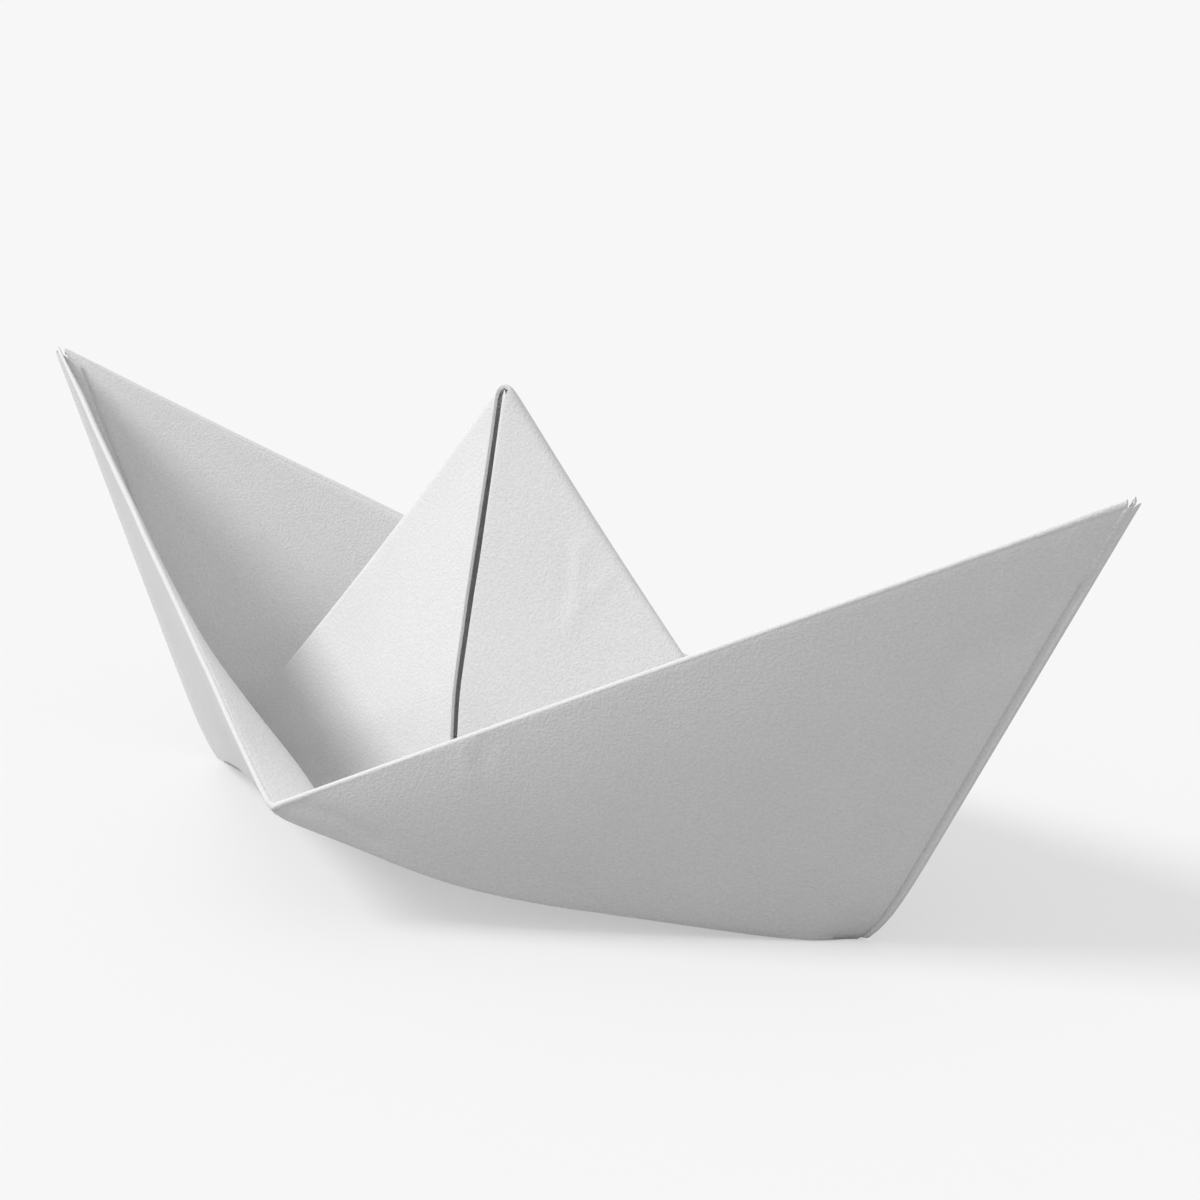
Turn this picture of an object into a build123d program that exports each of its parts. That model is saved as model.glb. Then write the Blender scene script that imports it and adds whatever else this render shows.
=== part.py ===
from build123d import *
import os
from math import hypot

# Paper boat folded from one A4 sheet.
# +X runs along the boat to the bow, -Y is the side with the open sail slit, +Z is up.
# The origin is the middle of the boat, on the surface that the two bottom creases stand on.
# The folded layers lie pressed together, so each wall is one solid as thick as its stack.

# ---- driving dimensions, mm ----
half_length = 88.6       # middle to the bow or stern tip
tip_height = 57.4        # top of the bow and stern tips
half_beam = 41.9         # middle to a side corner
corner_height = 15.5     # top of a side corner, the lowest place of the gunwale
keel_half = 57.2         # middle to the foot of the bow edge
sail_height = 59.9       # tip of the sail
stack = 0.5              # four to six layers of sheet, pressed
corner_wall = 1.8        # height of the wall left at a side corner
corner_inset = 0.7       # how far the bottom crease sits inside that corner
flat_from = 0.77         # share of the keel half where a sagging bottom crease reaches the ground
ground_trim = 0.12       # how much the ground flattens a crease that lies on it
lift_power = 1.5         # how a stiff bottom crease arches: 1 is straight
press_from = 0.93        # share of the keel half where the walls press into one bundle
lap_width = 0.9          # how far the lapped layer shows past the bow edge
lap_stack = 0.4          # thickness of that layer
slit_width = 1.3         # gap between the two corner flaps on the sail
slit_depth = 0.25        # half of the stack
tip_gap = 0.1            # opening left between the two walls at a tip

# Middle section of the sail as (out from the middle, up), from the pocket floor to the upper sail.
pocket_floor = (20.0, 2.0)
sail_foot = (11.5, 4.5)
sail_knee = (10.4, 16.2)
sail_chest = (5.8, 39.0)

half_stack = stack / 2
sail_tip_rise = 3.7 * half_stack     # the mitre of the sharp ridge stands this far above its middle line
ridge_height = sail_height - sail_tip_rise - half_stack


def gunwale(x):
    """Middle line of the gunwale at x, as (y, z): straight from side corner to tip."""
    share = x / half_length
    reach = max(half_beam * (1 - share), half_stack + tip_gap / 2)
    return -reach, corner_height + (tip_height - corner_height) * share


def sagging_crease(share):
    """Bottom crease of the near bow and far stern: falls from the side corner, then lies on the ground."""
    fall = max(0.0, 1 - share / flat_from) ** 2
    lowest = half_stack - ground_trim * min(1.0, share / flat_from)
    return -(half_beam - corner_inset) * (1 - share), lowest + (corner_height - corner_wall) * fall


def stiff_crease(share):
    """Bottom crease of the far bow and near stern: nearly straight, and clear of the ground."""
    fall = 1 - share ** lift_power
    return -(half_beam - corner_inset) * (1 - share), half_stack + (corner_height - corner_wall) * fall


def shrink(point, share):
    """A point of the middle section, drawn towards the foot of the bow edge by that share."""
    out, up = point
    return -out * (1 - share), half_stack + up * (1 - share)


def side_path(share, crease):
    """Middle line of one side at a share of the keel half, from gunwale to sail ridge."""
    return [
        gunwale(share * keel_half),
        crease(share),
        shrink(pocket_floor, share),
        shrink(sail_foot, share),
        shrink(sail_knee, share),
        shrink(sail_chest, share),
        shrink((0.0, ridge_height), share),
    ]


def whole_path(share):
    near = side_path(share, sagging_crease)
    far = side_path(share, stiff_crease)
    return near + [(-y, z) for y, z in reversed(far[:-1])]


def unit(start, end):
    length = hypot(end[0] - start[0], end[1] - start[1])
    return (end[0] - start[0]) / length, (end[1] - start[1]) / length


def offset_path(path, distance):
    """The path moved sideways by a distance, with mitred corners and square ends."""
    moved = []
    for i, (y, z) in enumerate(path):
        before = unit(path[max(i - 1, 0)], path[max(i, 1)])
        after = unit(path[min(i, len(path) - 2)], path[min(i + 1, len(path) - 1)])
        side = (-before[1] - after[1], before[0] + after[0])
        scale = distance / (1 + before[0] * after[0] + before[1] * after[1])
        moved.append((y + side[0] * scale, z + side[1] * scale))
    return moved


def wall_section(share):
    """Closed outline of the whole W-shaped wall."""
    path = whole_path(share)
    return offset_path(path, half_stack) + offset_path(path, -half_stack)[::-1]


def bundle_section(top, near_foot, far_foot, floor_half, floor_height):
    """Closed outline of the V-shaped wall, with its two feet and its inner floor."""
    near = [offset_path([top, near_foot], d)[0] for d in (half_stack, -half_stack)] + [near_foot]
    far = [offset_path([top, far_foot], d)[0] for d in (half_stack, -half_stack)] + [far_foot]
    turned = [(-y, z) for y, z in reversed(far)]
    return near + turned + [(floor_half, floor_height), (-floor_half, floor_height)]


press_x = press_from * keel_half
press_top = shrink((0.0, ridge_height), press_from)[1] + sail_tip_rise
press_near = (sagging_crease(press_from)[0] - half_stack, 0.0)
press_far = (stiff_crease(press_from)[0] - half_stack, stiff_crease(press_from)[1] - half_stack)
edge_foot = (-stack, 0.0)

with BuildPart() as half_boat:
    # The side walls, the pockets and the hollow sail, out to where the layers press together.
    for share in (0, 0.12, 0.3, 0.5, flat_from, press_from):
        with BuildSketch(Plane.YZ.offset(share * keel_half)):
            with BuildLine():
                Polyline(*wall_section(share), close=True)
            make_face()
    loft(ruled=True)
    # The pressed bundle and the V of the bow, up to the tip.
    tip = gunwale(half_length)
    tip_foot = (-stack, tip[1] - 2 * stack)
    bow_sections = (
        (press_x, bundle_section(gunwale(press_x), press_near, press_far, 2 * stack, press_top)),
        (keel_half, bundle_section(gunwale(keel_half), edge_foot, edge_foot, tip_gap / 2, 2 * stack)),
        (half_length, bundle_section(tip, tip_foot, tip_foot, tip_gap / 2, tip[1] - stack)),
    )
    for x, outline in bow_sections:
        with BuildSketch(Plane.YZ.offset(x)):
            with BuildLine():
                Polyline(*outline, close=True)
            make_face()
    loft(ruled=True)
    # The lapped layer that shows past the bow edge.
    with BuildSketch(Plane.XZ):
        with BuildLine():
            Polyline(
                (keel_half - lap_width, 0),
                (keel_half + lap_width, 0),
                (half_length + lap_width, tip_height - stack),
                (half_length - lap_width, tip_height - stack),
                close=True,
            )
        make_face()
    extrude(amount=lap_stack / 2, both=True)

with BuildPart() as far_stern_half:
    add(half_boat.part)
    mirror(about=Plane.YZ, mode=Mode.REPLACE)

with BuildPart() as folded_sheet:
    # The fold looks the same turned half round, so the stern is the bow mirrored twice.
    add(far_stern_half.part)
    mirror(about=Plane.XZ, mode=Mode.REPLACE)
    add(half_boat.part)
    # The slit between the two corner flaps, down the near face of the sail.
    sail_line = side_path(0, sagging_crease)[4:]
    with BuildSketch(Plane.YZ):
        with BuildLine():
            Polyline(
                *offset_path(sail_line, slit_depth),
                *sail_line[::-1],
                close=True,
            )
        make_face()
    extrude(amount=slit_width / 2, both=True, mode=Mode.SUBTRACT)
    # The ground trims the creases to narrow flats.
    split(bisect_by=Plane.XY, keep=Keep.TOP)

folded_sheet.part.label = "folded_sheet"
os.makedirs("parts", exist_ok=True)
export_step(folded_sheet.part, "parts/folded_sheet.step")
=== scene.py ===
import math
import bmesh
import bpy
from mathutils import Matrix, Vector, noise


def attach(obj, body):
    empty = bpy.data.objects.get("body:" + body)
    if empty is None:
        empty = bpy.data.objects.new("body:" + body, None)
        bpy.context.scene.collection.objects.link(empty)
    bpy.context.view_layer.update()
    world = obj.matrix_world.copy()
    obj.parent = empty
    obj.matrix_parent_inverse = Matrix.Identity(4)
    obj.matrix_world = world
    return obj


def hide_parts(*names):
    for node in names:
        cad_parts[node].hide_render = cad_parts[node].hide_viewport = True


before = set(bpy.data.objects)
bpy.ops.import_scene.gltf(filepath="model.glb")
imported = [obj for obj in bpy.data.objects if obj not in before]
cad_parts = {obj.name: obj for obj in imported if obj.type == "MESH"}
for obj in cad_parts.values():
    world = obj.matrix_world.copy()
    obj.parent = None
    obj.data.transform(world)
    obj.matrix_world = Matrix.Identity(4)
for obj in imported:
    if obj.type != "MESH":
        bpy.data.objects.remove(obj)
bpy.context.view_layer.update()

MM = 0.001

# ---- sizes of the folded boat, in millimetres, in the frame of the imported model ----
# +X is the bow, -Y the near side, whose sail face has the slit.
HALF_LENGTH = 88.6      # middle to the bow or stern tip
TIP_HEIGHT = 57.4       # top of the tips
HALF_BEAM = 42.2        # middle to a side corner, before the corner is rounded
CORNER_HEIGHT = 15.5    # top of a side corner
CORNER_ROUND = 1.0      # how soft the side corner is in plan
CORNER_WALL = 1.8       # height of the wall left at a side corner
KEEL_HALF = 57.2        # middle to the foot of the bow edge
TIP_SHORT = 0.005       # share of its length by which a sagging wall ends before the tip
FOOT_ROUND = 1.7        # how far the foot of the bow edge is rounded back
WALL = 0.46             # pressed stack of a wall
LAYER = 0.14            # one layer of sheet, drawn a little thick so that its edge shows
TIP_HALF = 0.34         # middle of the boat to the middle of each wall, at the bow edge
LAP_REACH = 0.9         # how far the lap shows past the bow edge
LAP_BEND = 0.30         # radius of the lap's fold
LAP_TOP = 0.978         # where the lap ends, as a share of the bow edge
LAP_PARTING = (0.72, 0.47)  # how fast the leaves part behind the bow edge, at its foot and its top
SLIT_HALF = 0.62        # half the gap between the two corner flaps
SLIT_TAPER = 0.22       # how much narrower it is at the bottom, and wider at the top
SLIT_FROM = 0.33        # where the slit starts, as a share of the sail section
SLIT_TO = 0.9962        # and where it ends, under the sail's tip
TROUGH_DEPTH = 4.5      # how deep the gap under the stern flap is
TROUGH_TOP = 0.990      # where the trough's rounded top ends, as a share of the sail section
TIP_ROUND = 0.0115      # how far the sail's tip is rounded, as a share of the keel half
FOLD_ROUND = 0.50       # radius of the rolled fold along the gunwale
CREASE_ARCH = 1.5       # how a stiff crease arches: 1 is straight
GROUND = WALL * 0.5 + 0.05  # height of the middle of a wall that rests on the ground
STRIP_END = 0.972       # where the turned-in strip ends, as a share of the gunwale
STRIP_SPRING = 8.0      # how far the strip springs off the wall round the side corner
STRIP_EASE = 1.5        # and how far along the rest of the quarter
STRIP_RISE = 1.3        # how far it lifts above the side corner
RIDGE_HOLLOW = 0.026    # how far the ridge of the sail dips between its ends, as a share of its height

# A sagging crease: its height from the side corner to the foot of the bow, in even steps.
SAGGING_CREASE = (1.0, 0.905, 0.81, 0.71, 0.605, 0.51, 0.425, 0.36, 0.307, 0.263, 0.226, 0.194, 0.164,
                  0.133, 0.102, 0.071, 0.041, 0.017, 0.004, 0.0, 0.0)

# Section of the near sail face at the middle, from the bottom crease to the tip of the sail,
# as (out from the middle, up).
SAIL_SECTION = (
    (41.4, 13.7), (38.6, 13.1), (35.5, 11.9), (32.0, 9.9), (28.5, 7.5), (24.0, 4.8), (19.5, 2.7),
    (16.3, 1.6), (13.6, 1.7), (11.8, 4.6), (10.8, 10.0), (10.3, 16.0), (9.7, 22.0), (8.1, 29.3),
    (5.8, 39.0), (3.35, 49.5), (1.25, 58.7), (0.85, 60.0), (0.48, 60.6), (0.0, 60.75),
)
SECTION_STEPS = 400
COLUMNS = 80            # from the middle to the bow
HULL_ROWS = 28          # from the gunwale to the bottom crease
SAIL_ROWS = 52          # from the bottom crease to the ridge of the sail

# Belly of the hull walls at their middle, and the way it points.
SAGGING_BELLY = 1.1
STIFF_BELLY = 0.5
OUTWARD = Vector((0.30, -0.85, -0.25))


# ---------------------------------------------------------------- the shape of the folds

def fade(value, start, end):
    """Smooth step from 0 at start to 1 at end."""
    t = min(1.0, max(0.0, (value - start) / (end - start)))
    return t * t * (3 - 2 * t)


def plan_share(u, length):
    """u, softened at the side corner so that the fold turns it in an arc."""
    return math.hypot(u, CORNER_ROUND / length)


def gunwale(u):
    """Fold along the top of the hull, from the side corner at 0 to the tip at 1."""
    return Vector((
        HALF_LENGTH * u,
        -HALF_BEAM * max(0.0, 1 - plan_share(u, HALF_LENGTH)) - TIP_HALF * u,
        CORNER_HEIGHT + (TIP_HEIGHT - CORNER_HEIGHT) * u,
    ))


def crease_height(u, sags):
    """Height of the bottom crease: one kind sags to the ground, the other stays nearly straight."""
    lift = 1 - u ** CREASE_ARCH
    if sags:
        place = min(u, 0.999) * (len(SAGGING_CREASE) - 1)
        k = int(place)
        lift = SAGGING_CREASE[k] + (SAGGING_CREASE[k + 1] - SAGGING_CREASE[k]) * (place - k)
    return GROUND + (CORNER_HEIGHT - CORNER_WALL) * lift


def foot_cut(share):
    """How far the bow edge is rounded back, at a share of its length from the foot."""
    return FOOT_ROUND * math.exp(-share * 22)


def keel_place(u):
    """Place along the keel; the foot of the bow edge is rounded back."""
    return KEEL_HALF * u - FOOT_ROUND * fade(u, 0.90, 1.0)


def bottom(u, sags):
    """Crease between hull and sail, from the side corner at 0 to the foot of the bow at 1."""
    out = SAIL_SECTION[0][0] * max(0.0, 1 - plan_share(u, KEEL_HALF)) + TIP_HALF * u
    return Vector((keel_place(u), -out, crease_height(u, sags)))


def smooth_section(points, steps):
    """Evenly spread points on a smooth curve through the given ones."""
    dense = []
    last = len(points) - 1
    for i in range(last):
        p0, p1, p2, p3 = (Vector(points[min(max(i + k, 0), last)]) for k in (-1, 0, 1, 2))
        for k in range(16):
            t = k / 16
            dense.append(0.5 * (2 * p1 + (p2 - p0) * t + (2 * p0 - 5 * p1 + 4 * p2 - p3) * t * t
                                + (3 * p1 - p0 - 3 * p2 + p3) * t ** 3))
    dense.append(Vector(points[last]))
    length = [0.0]
    for a, b in zip(dense, dense[1:]):
        length.append(length[-1] + (b - a).length)
    spread = []
    k = 0
    for j in range(steps + 1):
        want = length[-1] * j / steps
        while k < len(dense) - 2 and length[k + 1] < want:
            k += 1
        t = (want - length[k]) / (length[k + 1] - length[k])
        spread.append(dense[k].lerp(dense[k + 1], t))
    return spread


SECTION = smooth_section(SAIL_SECTION, SECTION_STEPS)


def sail(u, s, sags):
    """Sail face: a cone from the foot of the bow over the middle section, s from crease to ridge."""
    place = s * SECTION_STEPS
    k = min(int(place), SECTION_STEPS - 1)
    out, up = SECTION[k].lerp(SECTION[k + 1], place - k)
    left = max(0.0, 1 - math.hypot(u, TIP_ROUND))
    tall = left * (1 - RIDGE_HOLLOW * math.sin(math.pi * u))
    at = Vector((keel_place(u), -out * left, GROUND + up * tall))
    start_out, start_up = SECTION[0]
    start = Vector((keel_place(u), -start_out * left, GROUND + start_up * tall))
    held = (1 - fade(s, 0.0, 0.34))
    return at + (bottom(u, sags) - start) * held


def hull(u, s, sags):
    """Hull wall, s from the bottom crease to the gunwale, with the slight belly of sprung paper."""
    if sags:
        u = u * (1 - TIP_SHORT * s * fade(u, 0.7, 1.0))
    low = bottom(u, sags)
    low.x = KEEL_HALF * u - foot_cut(s) * fade(u, 0.90, 1.0)
    high = gunwale(u)
    belly = SAGGING_BELLY if sags else STIFF_BELLY
    swell = belly * math.sin(math.pi * s) * math.sin(math.pi * min(1.0, u * 1.04)) ** 0.8
    return low.lerp(high, s) + OUTWARD * swell


# ---------------------------------------------------------------- handling marks

# Waves in the sheet: how long they are and how far they swell.
BROAD_WAVE = 24.0
BROAD_SWELL = 0.30
SMALL_WAVE = 8.0
SMALL_SWELL = 0.07

# Short kinks that handling left, as lines of (along the boat, up), with depth and width.
SAIL_MARKS = (
    (((15.2, 43.2), (13.8, 41.0), (13.9, 38.1), (14.8, 35.9), (14.2, 32.5)), 0.14, 0.75),
    (((19.0, 39.4), (17.3, 37.2), (16.2, 35.9)), 0.12, 0.75),
    (((10.0, 44.6), (12.3, 43.0)), -0.08, 0.75),
    (((12.2, 40.5), (12.6, 37.0), (12.0, 34.0)), -0.08, 0.9),
)
HULL_MARKS = (
    (((22.0, 24.5), (22.1, 20.4)), 0.14, 0.7),
    (((24.2, 25.2), (23.2, 22.0)), -0.11, 0.7),
    (((2.9, 15.9), (7.2, 14.4), (10.4, 11.8)), -0.19, 1.0),
    (((75.3, 51.4), (75.0, 45.6)), -0.13, 0.9),
    (((80.9, 46.4), (78.8, 43.3), (75.7, 40.2), (72.0, 38.0)), -0.26, 1.8),
    (((84.0, 54.6), (82.2, 48.5)), 0.16, 1.4),
    (((29.9, 6.9), (30.9, 3.2)), -0.11, 0.8),
    (((33.2, 6.4), (33.6, 3.4)), 0.10, 0.8),
    (((53.0, 8.5), (55.2, 3.0)), -0.11, 0.8),
)


def kink(at, marks):
    """Depth of the handling marks at a place, outward."""
    total = 0.0
    for line, depth, width in marks:
        nearest = 1e9
        for a, b in zip(line, line[1:]):
            start = Vector(a)
            run = Vector(b) - start
            flat = Vector((at.x, at.z)) - start
            t = min(1.0, max(0.0, flat.dot(run) / run.length_squared))
            nearest = min(nearest, (flat - run * t).length)
        if nearest < 4 * width:
            total += depth * math.exp(-(nearest / width) ** 2)
    return total


def unevenness(at):
    """Slow unevenness of a folded, handled sheet: broad waves, with smaller ones on them."""
    broad = noise.noise(at / BROAD_WAVE + Vector((3.1, 0.7, 5.3)))
    small = noise.noise(at / SMALL_WAVE + Vector((9.4, 2.2, 1.8)))
    return BROAD_SWELL * broad + SMALL_SWELL * small


# ---------------------------------------------------------------- mesh helpers

def grid(columns, rows, place, keep=None):
    """Vertices and faces of a sheet; place(c, r) gives each vertex, keep(c, r) says which cells stay."""
    verts = [place(c, r) for c in range(columns + 1) for r in range(rows + 1)]
    step = rows + 1
    faces = []
    for c in range(columns):
        for r in range(rows):
            if keep is None or keep(c, r):
                a = c * step + r
                faces.append((a, a + step, a + step + 1, a + 1))
    return verts, faces


def new_piece(name, sheet, material):
    """A piece in the scene from vertices in millimetres and faces."""
    verts, faces = sheet
    mesh = bpy.data.meshes.new(name)
    mesh.from_pydata([v * MM for v in verts], [], faces)
    mesh.materials.append(material)
    piece = bpy.data.objects.new(name, mesh)
    bpy.context.scene.collection.objects.link(piece)
    return piece


def make_sheet(name, sheet, thickness, material):
    """A closed piece from a sheet: thickened both ways, with its cut and folded edges rounded."""
    piece = new_piece(name, sheet, material)
    thick = piece.modifiers.new("stack", "SOLIDIFY")
    thick.thickness = thickness * MM
    thick.offset = 0
    thick.use_even_offset = False
    soft = piece.modifiers.new("folded_edge", "BEVEL")
    soft.width = thickness * 0.40 * MM
    soft.segments = 3
    soft.limit_method = "ANGLE"
    soft.angle_limit = math.radians(60)
    with bpy.context.temp_override(object=piece, active_object=piece, selected_objects=[piece]):
        for modifier in ("stack", "folded_edge"):
            bpy.ops.object.modifier_apply(modifier=modifier)
    piece.data.shade_smooth()
    piece.data.set_sharp_from_angle(angle=math.radians(42))
    return piece


def make_fold(name, sheet, material):
    """A closed roll from a grid whose first and last rows meet; its ends are capped."""
    piece = new_piece(name, sheet, material)
    shape = bmesh.new()
    shape.from_mesh(piece.data)
    bmesh.ops.remove_doubles(shape, verts=shape.verts, dist=0.0005 * MM)
    bmesh.ops.holes_fill(shape, edges=[e for e in shape.edges if e.is_boundary])
    bmesh.ops.recalc_face_normals(shape, faces=shape.faces)
    shape.to_mesh(piece.data)
    shape.free()
    piece.data.shade_smooth()
    piece.data.set_sharp_from_angle(angle=math.radians(50))
    return piece


def mirrored(at, side, end):
    """A near bow place moved to the far side (side -1) or the stern (end -1)."""
    return Vector((at.x * end, at.y * side, at.z))


# ---------------------------------------------------------------- paper

FLOC = 0.34             # how wide the flocs of fibre are
CLOUD = 9               # how wide the clouds of pulp are
FELT_RELIEF = 0.12      # height of the felt's relief


def linear(code):
    """Linear colour of an sRGB hex code."""
    parts = [int(code[i:i + 2], 16) / 255 for i in (0, 2, 4)]
    return tuple(p / 12.92 if p <= 0.04045 else ((p + 0.055) / 1.055) ** 2.4 for p in parts) + (1.0,)


def add_node(tree, kind, settings=None, inputs=None):
    """A node with its settings, and inputs that are values or sockets of other nodes."""
    node = tree.nodes.new(kind)
    for key, value in (settings or {}).items():
        setattr(node, key, value)
    for key, value in (inputs or {}).items():
        if isinstance(value, bpy.types.NodeSocket):
            tree.links.new(value, node.inputs[key])
        else:
            node.inputs[key].default_value = value
    return node


def copier_paper():
    """Uncoated white copier paper: matt, with a felt of short fibres and faint clouds of density."""
    material = bpy.data.materials.new("copier_paper")
    material.use_nodes = True
    tree = material.node_tree
    shader = tree.nodes["Principled BSDF"]
    shader.inputs["Roughness"].default_value = 0.85
    shader.inputs["Specular IOR Level"].default_value = 0.2
    where = add_node(tree, "ShaderNodeTexCoord").outputs["Object"]
    # A single fibre, 0.03 mm wide, is too fine to show, so the felt is drawn as coarser flocs of
    # fibre, in tone and in relief.
    flocs = add_node(tree, "ShaderNodeTexNoise", inputs={
        "Vector": where, "Scale": 1 / (FLOC * MM), "Detail": 2.0, "Roughness": 0.5})
    # Clouds of denser and thinner pulp.
    clouds = add_node(tree, "ShaderNodeTexNoise", inputs={
        "Vector": where, "Scale": 1 / (CLOUD * MM), "Detail": 2.0})
    tone = add_node(tree, "ShaderNodeMix", {"data_type": "RGBA"}, {
        "Factor": clouds.outputs["Fac"], "A": linear("E9E9E9"), "B": linear("EEEEEE")})
    grain = add_node(tree, "ShaderNodeMapRange", inputs={
        "Value": flocs.outputs["Fac"], "From Min": 0.3, "From Max": 0.7, "To Min": 0.92, "To Max": 1.0})
    felt = add_node(tree, "ShaderNodeMix", {"data_type": "RGBA", "blend_type": "MULTIPLY"}, {
        "Factor": 1.0, "A": tone.outputs["Result"], "B": grain.outputs["Result"]})
    bump = add_node(tree, "ShaderNodeBump", inputs={
        "Height": flocs.outputs["Fac"], "Strength": 0.8, "Distance": FELT_RELIEF * MM})
    tree.links.new(felt.outputs["Result"], shader.inputs["Base Color"])
    tree.links.new(bump.outputs["Normal"], shader.inputs["Normal"])
    return material


paper = copier_paper()


# ---------------------------------------------------------------- the boat

SLIT_COLUMNS = 2


def column_share(i):
    """Place of column i: two fill the slit, and the rest widen towards the bow."""
    slit = SLIT_HALF / KEEL_HALF
    if i <= SLIT_COLUMNS:
        return slit * i / SLIT_COLUMNS
    return slit + (1 - slit) * ((i - SLIT_COLUMNS) / (COLUMNS - SLIT_COLUMNS)) ** 1.25


def sail_share(row):
    """Share of the sail section at a row; the rows are closest at the ridge."""
    return 1 - (1 - row / SAIL_ROWS) ** 1.5


def lip_shift(x, s):
    """The bow flap's lip stands off more towards the top of the slit."""
    open_share = (s - SLIT_FROM) / (SLIT_TO - SLIT_FROM)
    near_lip = math.exp(-((x - SLIT_HALF) / 1.5) ** 2) * fade(s, 0.25, 0.45) * fade(x, 0, SLIT_HALF)
    return SLIT_TAPER * (2 * open_share - 1) * near_lip


def wall_place(u, row, side, end, top_cut=0.0):
    """A place on one side wall; rows run from the gunwale down to the crease and up to the ridge."""
    sags = side * end > 0
    near_bow = side > 0 and end > 0
    if row <= HULL_ROWS:
        at = hull(u, (1 - row / HULL_ROWS) ** 1.2, sags)
        at.z -= top_cut * (1 - row / HULL_ROWS) ** 8
        at.y -= kink(at, HULL_MARKS) if near_bow else 0.0
        depth = 1.0
    else:
        s = sail_share(row - HULL_ROWS)
        at = sail(u, s, sags)
        at.y -= kink(at, SAIL_MARKS) * (1 - fade(s, 0.93, 1.0)) if near_bow and s > 0.3 else 0.0
        depth = min(1.0, abs(at.y) / 2.0)
        if near_bow:
            at.x += lip_shift(at.x, s)
    at = mirrored(at, side, end)
    at.y += unevenness(at) * depth * (1 - fade(u, 0.8, 1.0))
    return at


def boat_sheet():
    """The sheet from the near gunwale over the sail to the far gunwale, stern to bow, with its slit."""
    rows = HULL_ROWS + SAIL_ROWS

    def place(c, r):
        i = c - COLUMNS
        side = 1 if r <= rows else -1
        end = 1 if i >= 0 else -1
        return wall_place(column_share(abs(i)), min(r, 2 * rows - r), side, end, FOLD_ROUND * 0.7)

    def keep(c, r):
        in_slit = COLUMNS - SLIT_COLUMNS <= c < COLUMNS + SLIT_COLUMNS
        on_near_sail = HULL_ROWS <= r < rows
        return not (in_slit and on_near_sail and SLIT_FROM < sail_share(r + 0.5 - HULL_ROWS) < SLIT_TO)
    return grid(2 * COLUMNS, 2 * rows, place, keep)


def slit_trough():
    """The inner layer behind the slit: a flank under the bow flap, and a deep gap under the stern flap."""
    rows = 70
    start = SLIT_FROM - 0.03

    def place(c, r):
        t = r / rows
        # From the bow to the stern, as (along the boat, depth behind the sail face).
        lip = 0.02 + SLIT_TAPER * (1 - t)
        across = ((1.9, 0.36), (1.2, 0.30), (0.75, 0.12), (0.45, 0.22), (lip + 0.08, 0.50), (lip, 0.75),
                  (lip - 0.03, TROUGH_DEPTH), (-2.2, TROUGH_DEPTH), (-2.4, 0.8), (-3.2, 0.45))
        x, depth = across[c]
        arch = TROUGH_TOP - 0.005 * min(1.0, abs(x - 0.2) / 0.6) ** 2
        at = sail(abs(x) / KEEL_HALF, start + (arch - start) * t, True)
        # The far sail face leaves little room near the tip.
        room = max(0.30, abs(at.y) * 1.6 - 0.3)
        return Vector((x, at.y + min(depth, room), at.z))
    return grid(9, rows, place)


def gunwale_fold(side):
    """The rolled fold along the top of a wall, thinner where the walls meet at the tips."""
    sides = 14

    def place(c, r):
        i = c - COLUMNS
        end = 1 if i >= 0 else -1
        u = column_share(abs(i))
        at = wall_place(u, 0, side, end)
        inward = Vector((0, side, 0))
        slim = FOLD_ROUND - (FOLD_ROUND - WALL / 2) * fade(u, 0.86, 0.99)
        turn = 2 * math.pi * r / sides
        centre = at + inward * (slim - WALL / 2 - 0.015) + Vector((0, 0, -FOLD_ROUND))
        return centre + inward * (slim * math.sin(turn)) + Vector((0, 0, FOLD_ROUND * math.cos(turn)))
    return grid(2 * COLUMNS, sides, place)


def bezier(points, t):
    """Point at share t along the curve that four points draw."""
    p0, p1, p2, p3 = points
    a = 1 - t
    return p0 * a ** 3 + p1 * 3 * a * a * t + p2 * 3 * a * t * t + p3 * t ** 3


def turned_in_strip(side):
    """The edge strip folded inwards over the gunwale. It springs off the wall round the side corner."""
    rows = 16

    def place(c, r):
        i = c - COLUMNS
        end = 1 if i >= 0 else -1
        u = STRIP_END * column_share(abs(i))
        shelf = STRIP_SPRING * math.exp(-(u / 0.24) ** 2.4) + STRIP_EASE * math.exp(-(u / 0.5) ** 2)
        gap = WALL / 2 + LAYER / 2 + (2 * FOLD_ROUND - WALL - LAYER - 0.02) * (1 - fade(u, 0.90, 0.97))
        rise = STRIP_RISE * math.exp(-(u / 0.09) ** 2) - 0.10 * shelf
        sprung = 1 - fade(u, 0.3, 0.6)
        start = wall_place(u, 0, side, end) + Vector((
            0, side * (gap - 0.20 * sprung), FOLD_ROUND * (0.9 * sprung - 1)))
        roll = start + Vector((0, side * shelf * 0.75, rise))
        turn = start + Vector((0, side * shelf * 1.30, rise - 0.35 * shelf))
        low = wall_place(u, HULL_ROWS * 0.92, side, end) + Vector((0, side * gap, 0.1))
        return bezier((start, roll, turn, low), r / rows)
    return grid(2 * COLUMNS, rows, place)


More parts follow.
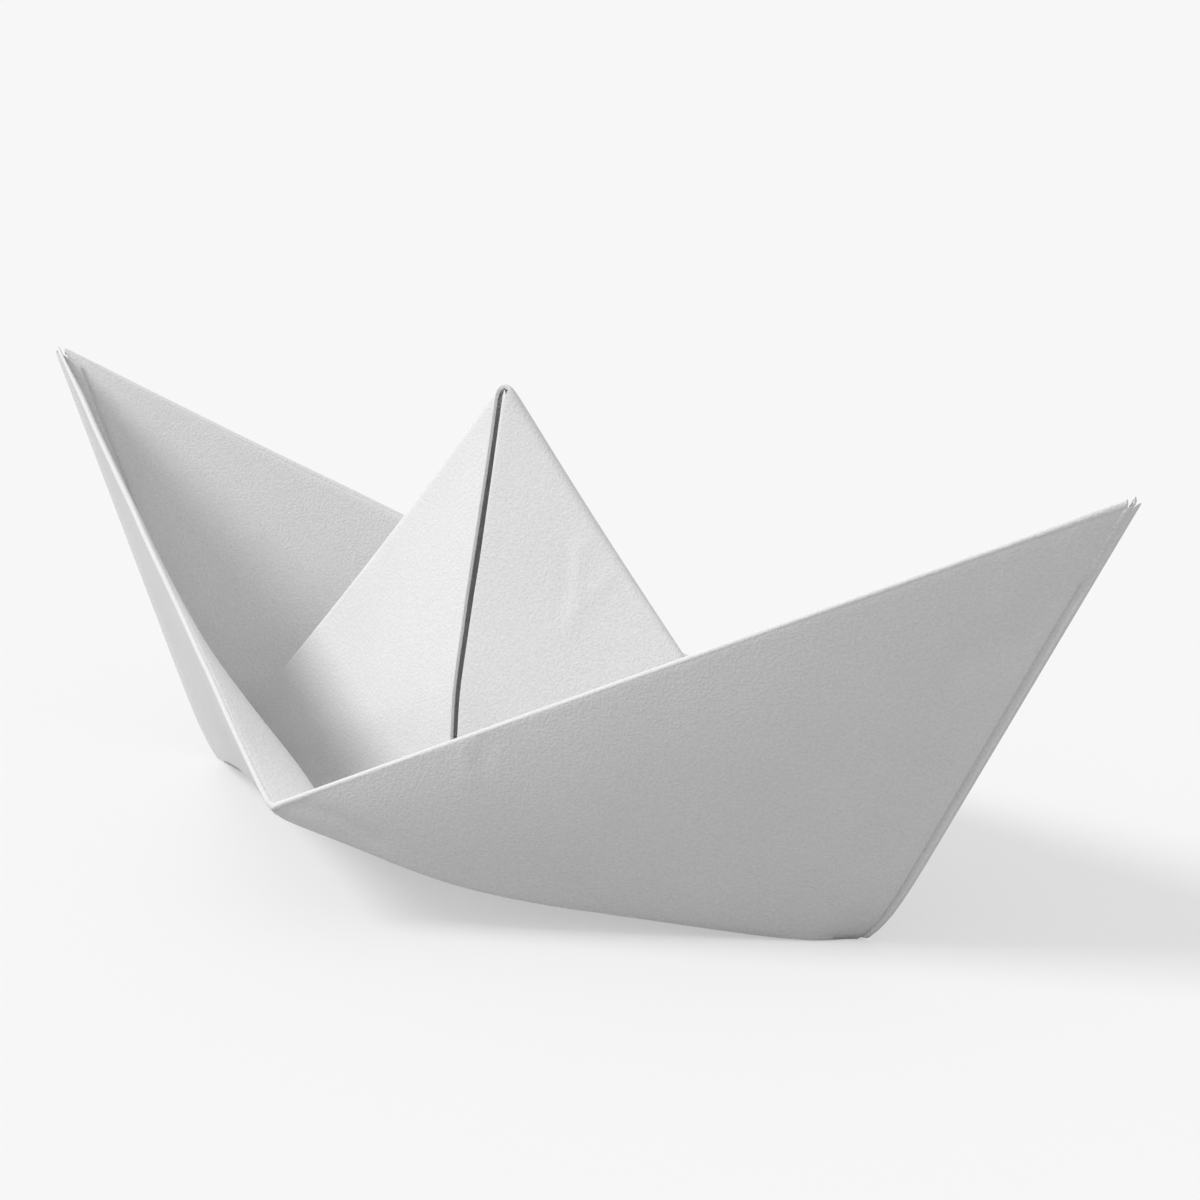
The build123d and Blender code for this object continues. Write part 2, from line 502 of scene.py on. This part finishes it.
def end_lap(end):
    """The far wall's layer, folded round the bow edge and tucked behind the near wall's fold."""
    near_leaf = TIP_HALF - WALL / 2 - LAYER / 2 - 0.02
    across = [(-1.6, near_leaf), (-0.6, near_leaf), (0.2, near_leaf)]
    for k in range(9):
        turn = math.pi * k / 8
        reach = LAP_REACH + LAP_BEND * (math.sin(turn) - 1)
        across.append((reach, near_leaf + LAP_BEND * (math.cos(turn) - 1)))
    across.append((0.0, near_leaf - 2 * LAP_BEND))
    across.append((-1.5, -TIP_HALF))
    foot = Vector((KEEL_HALF, 0, GROUND))
    top = gunwale(1.0)
    top.y = 0
    edge = (top - foot).normalized()
    ahead = Vector((edge.z, 0, -edge.x))
    along_top = gunwale(1.0) - gunwale(0.5)
    along_top.y = 0
    along_top /= along_top.dot(ahead)
    along_foot = Vector((1, 0, 0)) / ahead.x
    rows = 48

    def place(c, r):
        share = LAP_TOP * r / rows
        reach, out = across[c]
        at = foot.lerp(top, share) + along_foot.lerp(along_top, share) * reach
        at.x -= foot_cut(share)
        # Behind the bow edge the leaves follow the two walls as they part.
        foot_rate, top_rate = LAP_PARTING
        part = max(0.0, -reach) * (foot_rate + (top_rate - foot_rate) * share)
        return mirrored(Vector((at.x, -out - math.copysign(part, out), at.z)), end, end)
    return grid(len(across) - 1, rows, place)


def join(pieces, name):
    """One piece made of several."""
    with bpy.context.temp_override(active_object=pieces[0], selected_editable_objects=pieces):
        bpy.ops.object.join()
    pieces[0].name = name
    return pieces[0]


layers = [
    make_sheet("sheet", boat_sheet(), WALL, paper),
    make_sheet("trough", slit_trough(), LAYER, paper),
    make_sheet("near_strip", turned_in_strip(1), LAYER, paper),
    make_sheet("far_strip", turned_in_strip(-1), LAYER, paper),
    make_fold("near_fold", gunwale_fold(1), paper),
    make_fold("far_fold", gunwale_fold(-1), paper),
    make_sheet("bow_lap", end_lap(1), LAYER, paper),
    make_sheet("stern_lap", end_lap(-1), LAYER, paper),
]
boat = join(layers, "paper_boat")
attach(boat, "root")
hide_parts("folded_sheet")


# ---------------------------------------------------------------- stage, light and camera

KEY_FROM = (-0.525, -0.508, 0.68)
KEY_STRENGTH = 1.95
KEY_SPREAD = 20.0       # degrees; a broad soft box
ROOM_LIGHT = 0.69       # soft light from all round
FLOOR_HALF = 60.0       # metres; half the floor's width, to fill the view
FLOOR_GLOW = 0.475      # glow of the floor, which keeps its shadows pale


def pale_stage():
    """Pale studio floor. Its glow shows to the camera and sends no light to the boat."""
    material = bpy.data.materials.new("pale_stage")
    material.use_nodes = True
    tree = material.node_tree
    shader = tree.nodes["Principled BSDF"]
    shader.inputs["Base Color"].default_value = linear("AFAFAF")
    shader.inputs["Roughness"].default_value = 1.0
    shader.inputs["Specular IOR Level"].default_value = 0.0
    shader.inputs["Emission Color"].default_value = linear("FFFFFF")
    seen = add_node(tree, "ShaderNodeLightPath").outputs["Is Camera Ray"]
    glow = add_node(tree, "ShaderNodeMapRange", inputs={"Value": seen, "To Min": 0.0, "To Max": FLOOR_GLOW})
    tree.links.new(glow.outputs["Result"], shader.inputs["Emission Strength"])
    return material


def make_floor():
    """The floor that the boat stands on."""
    corners = [(x * FLOOR_HALF, y * FLOOR_HALF, 0) for x, y in ((-1, -1), (1, -1), (1, 1), (-1, 1))]
    mesh = bpy.data.meshes.new("floor")
    mesh.from_pydata(corners, [], [(0, 1, 2, 3)])
    floor = bpy.data.objects.new("floor", mesh)
    bpy.context.scene.collection.objects.link(floor)
    mesh.materials.append(pale_stage())


def make_key():
    """Soft key light, far away, above the stern on the near side."""
    data = bpy.data.lights.new("key", "SUN")
    data.energy = KEY_STRENGTH
    data.angle = math.radians(KEY_SPREAD)
    lamp = bpy.data.objects.new("key", data)
    bpy.context.scene.collection.objects.link(lamp)
    lamp.location = Vector(KEY_FROM)
    lamp.rotation_euler = Vector(KEY_FROM).to_track_quat("Z", "Y").to_euler()


def make_world():
    """Dim studio light all round, and the pale backdrop that the camera sees."""
    world = bpy.data.worlds.new("studio")
    bpy.context.scene.world = world
    world.use_nodes = True
    tree = world.node_tree
    seen = add_node(tree, "ShaderNodeLightPath").outputs["Is Camera Ray"]
    amount = add_node(tree, "ShaderNodeMapRange", inputs={
        "Value": seen, "To Min": ROOM_LIGHT, "To Max": 1.0})
    back = tree.nodes["Background"]
    back.inputs["Color"].default_value = linear("F7F7F7")
    tree.links.new(amount.outputs["Result"], back.inputs["Strength"])


def make_camera():
    """Camera that looks from the near side and the bow, a little from above."""
    aim = Vector((9.52, 7.23, 32.69)) * MM
    around, above, distance = math.radians(39.95), math.radians(13.56), 328.54 * MM
    back = Vector((math.sin(around) * math.cos(above), -math.cos(around) * math.cos(above),
                   math.sin(above)))
    data = bpy.data.cameras.new("camera")
    data.lens = 76.7
    data.sensor_width = 36
    data.clip_start = 0.01
    camera = bpy.data.objects.new("camera", data)
    bpy.context.scene.collection.objects.link(camera)
    camera.location = aim + back * distance
    camera.rotation_euler = (-back).to_track_quat("-Z", "Y").to_euler()
    bpy.context.scene.camera = camera


bpy.context.scene.view_settings.view_transform = "Standard"
make_floor()
make_world()
make_key()
make_camera()
